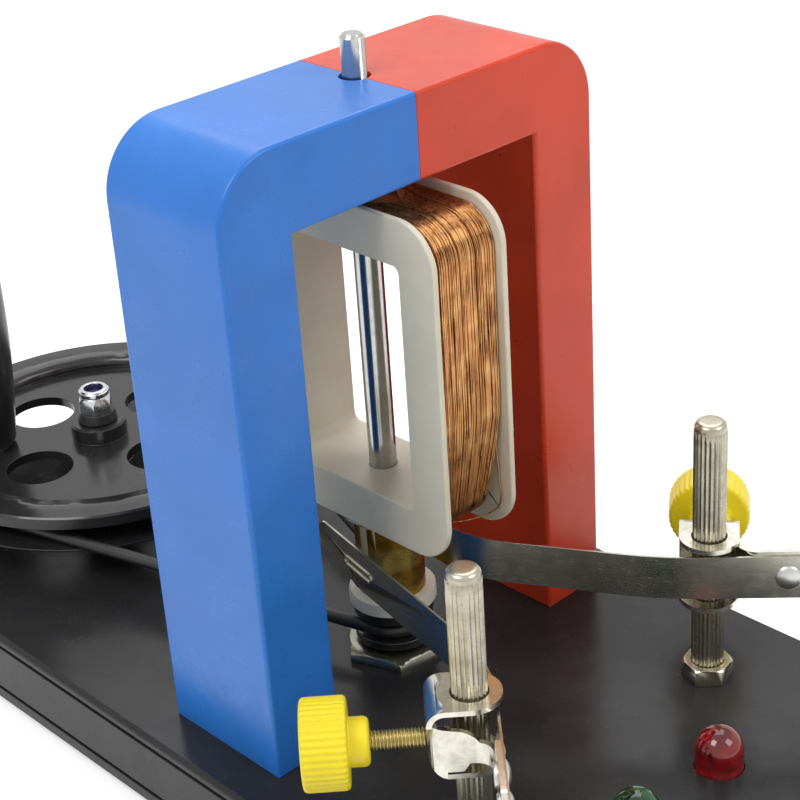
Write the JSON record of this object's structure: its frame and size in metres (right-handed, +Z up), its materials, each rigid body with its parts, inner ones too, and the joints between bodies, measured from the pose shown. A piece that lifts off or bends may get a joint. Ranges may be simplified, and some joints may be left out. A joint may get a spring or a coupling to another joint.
{
  "type": "hand crank generator",
  "caption": "Hand crank generator for science lessons: arch magnet over a wound rotor with commutator, swivelling brush arms, belt drive wheel with crank grip, and indicator lamps.",
  "frame": {"origin": "centre of the base's plan on the plane that the rubber feet stand on", "axes": "+X along the base from the drive wheel towards the lamps, +Y towards the red arm of the magnet, +Z up"},
  "size_m": [0.271, 0.1319, 0.1634],
  "materials": {
    "base_plastic": "satin moulded plastic",
    "cover_plastic": "matt",
    "foot_rubber": "matt",
    "plated_screws": "zinc plated",
    "casing_blue": "satin moulded plastic",
    "casing_red": "satin moulded plastic",
    "yoke_steel": "rolled",
    "ferrite": "ground ceramic magnet",
    "bush_bronze": "turned",
    "bearing_dark": "turned, darkened",
    "axle_steel": "turned",
    "washer_black": "satin",
    "locknut_zinc": "zinc plated, bright",
    "insert_nylon": "dark blue nylon",
    "belt_rubber": "satin",
    "post_nickel": "nickel plated brass",
    "lamp_red_lens": "tinted clear lens",
    "lamp_green_lens": "tinted clear lens",
    "lead_tin": "tinned wire",
    "bobbin_cream": "moulded plastic",
    "copper_core": "enamelled copper wire",
    "copper_wire": "enamelled copper wire",
    "commutator_brass": "turned, worn bright by the brushes",
    "sleeve_plastic": "moulded plastic",
    "disc_plastic": "turned plastic",
    "pulley_black": "satin moulded plastic",
    "wheel_black": "gloss moulded plastic",
    "grip_black": "satin moulded plastic",
    "clamp_nickel": "nickel plated sheet",
    "strip_steel": "spring strip, satin",
    "rivet_alu": "plain",
    "screw_brass": "plated brass",
    "knob_yellow": "ribbed moulded plastic"
  },
  "bodies": {
    "base": {"base_shell": "base_plastic", "base_cover": "cover_plastic", "rubber_feet": "foot_rubber", "cover_screws": "plated_screws", "blue_casing": "casing_blue", "red_casing": "casing_red", "flux_yoke": "yoke_steel", "pole_magnets": "ferrite", "arm_screws": "plated_screws", "top_bushing": "bush_bronze", "bearing_bush": "bearing_dark", "bearing_locknut": "plated_screws", "wheel_axle": "axle_steel", "axle_washer": "washer_black", "axle_locknut": "locknut_zinc", "locknut_insert": "insert_nylon", "axle_undernut": "plated_screws", "drive_belt": "belt_rubber", "brush_posts": "post_nickel", "post_nuts": "post_nickel", "post_undernuts": "plated_screws", "lamp_red": "lamp_red_lens", "lamp_green": "lamp_green_lens", "lamp_leads": "lead_tin"},
    "rotor": {"shaft": "axle_steel", "bobbin": "bobbin_cream", "winding_core": "copper_core", "winding_turns": "copper_wire", "commutator_segments": "commutator_brass", "commutator_sleeve": "sleeve_plastic", "insulator_disc": "disc_plastic", "rotor_pulley": "pulley_black"},
    "wheel": {"drive_wheel": "wheel_black", "handle_pin": "axle_steel", "pin_nut": "plated_screws", "handle_washer": "axle_steel"},
    "grip": {"handle_grip": "grip_black"},
    "clamp_blue": {"clamp_blue_side": "clamp_nickel", "strip_blue_side": "strip_steel", "rivets_blue_side": "rivet_alu"},
    "thumb_blue": {"screw_blue_side": "screw_brass", "knob_blue_side": "knob_yellow"},
    "clamp_red": {"clamp_red_side": "clamp_nickel", "strip_red_side": "strip_steel", "rivets_red_side": "rivet_alu"},
    "thumb_red": {"screw_red_side": "screw_brass", "knob_red_side": "knob_yellow"}
  },
  "joints": [
    {"name": "wheel_spin", "type": "hinge", "parent": "base", "child": "wheel", "pos_m": [-0.093, 0, 0.0355], "axis": [0, 0, 1], "continuous": true},
    {"name": "rotor_spin", "type": "hinge", "parent": "base", "child": "rotor", "pos_m": [0.017, 0, 0.0955], "axis": [0, 0, 1], "continuous": true},
    {"name": "grip_spin", "type": "hinge", "parent": "wheel", "child": "grip", "pos_m": [-0.11057, -0.02332, 0.07], "axis": [0, 0, 1], "continuous": true},
    {"name": "clamp_blue_swivel", "type": "hinge", "parent": "base", "child": "clamp_blue", "pos_m": [0.077, -0.036, 0.049], "axis": [0, 0, 1], "range_deg": [-3.5, 16]},
    {"name": "clamp_red_swivel", "type": "hinge", "parent": "base", "child": "clamp_red", "pos_m": [0.077, 0.036, 0.049], "axis": [0, 0, 1], "range_deg": [-15, 0]},
    {"name": "thumb_blue_turn", "type": "hinge", "parent": "clamp_blue", "child": "thumb_blue", "pos_m": [0.077, -0.036, 0.0468], "axis": [-0.6717, -0.7408, 0], "range_deg": [0, 360]},
    {"name": "thumb_red_turn", "type": "hinge", "parent": "clamp_red", "child": "thumb_red", "pos_m": [0.077, 0.036, 0.0468], "axis": [-0.6101, 0.7923, 0], "range_deg": [0, 360]}
  ],
  "couplings": [
    {"joint": "rotor_spin", "follows": "wheel_spin", "ratio": 5.7222}
  ]
}
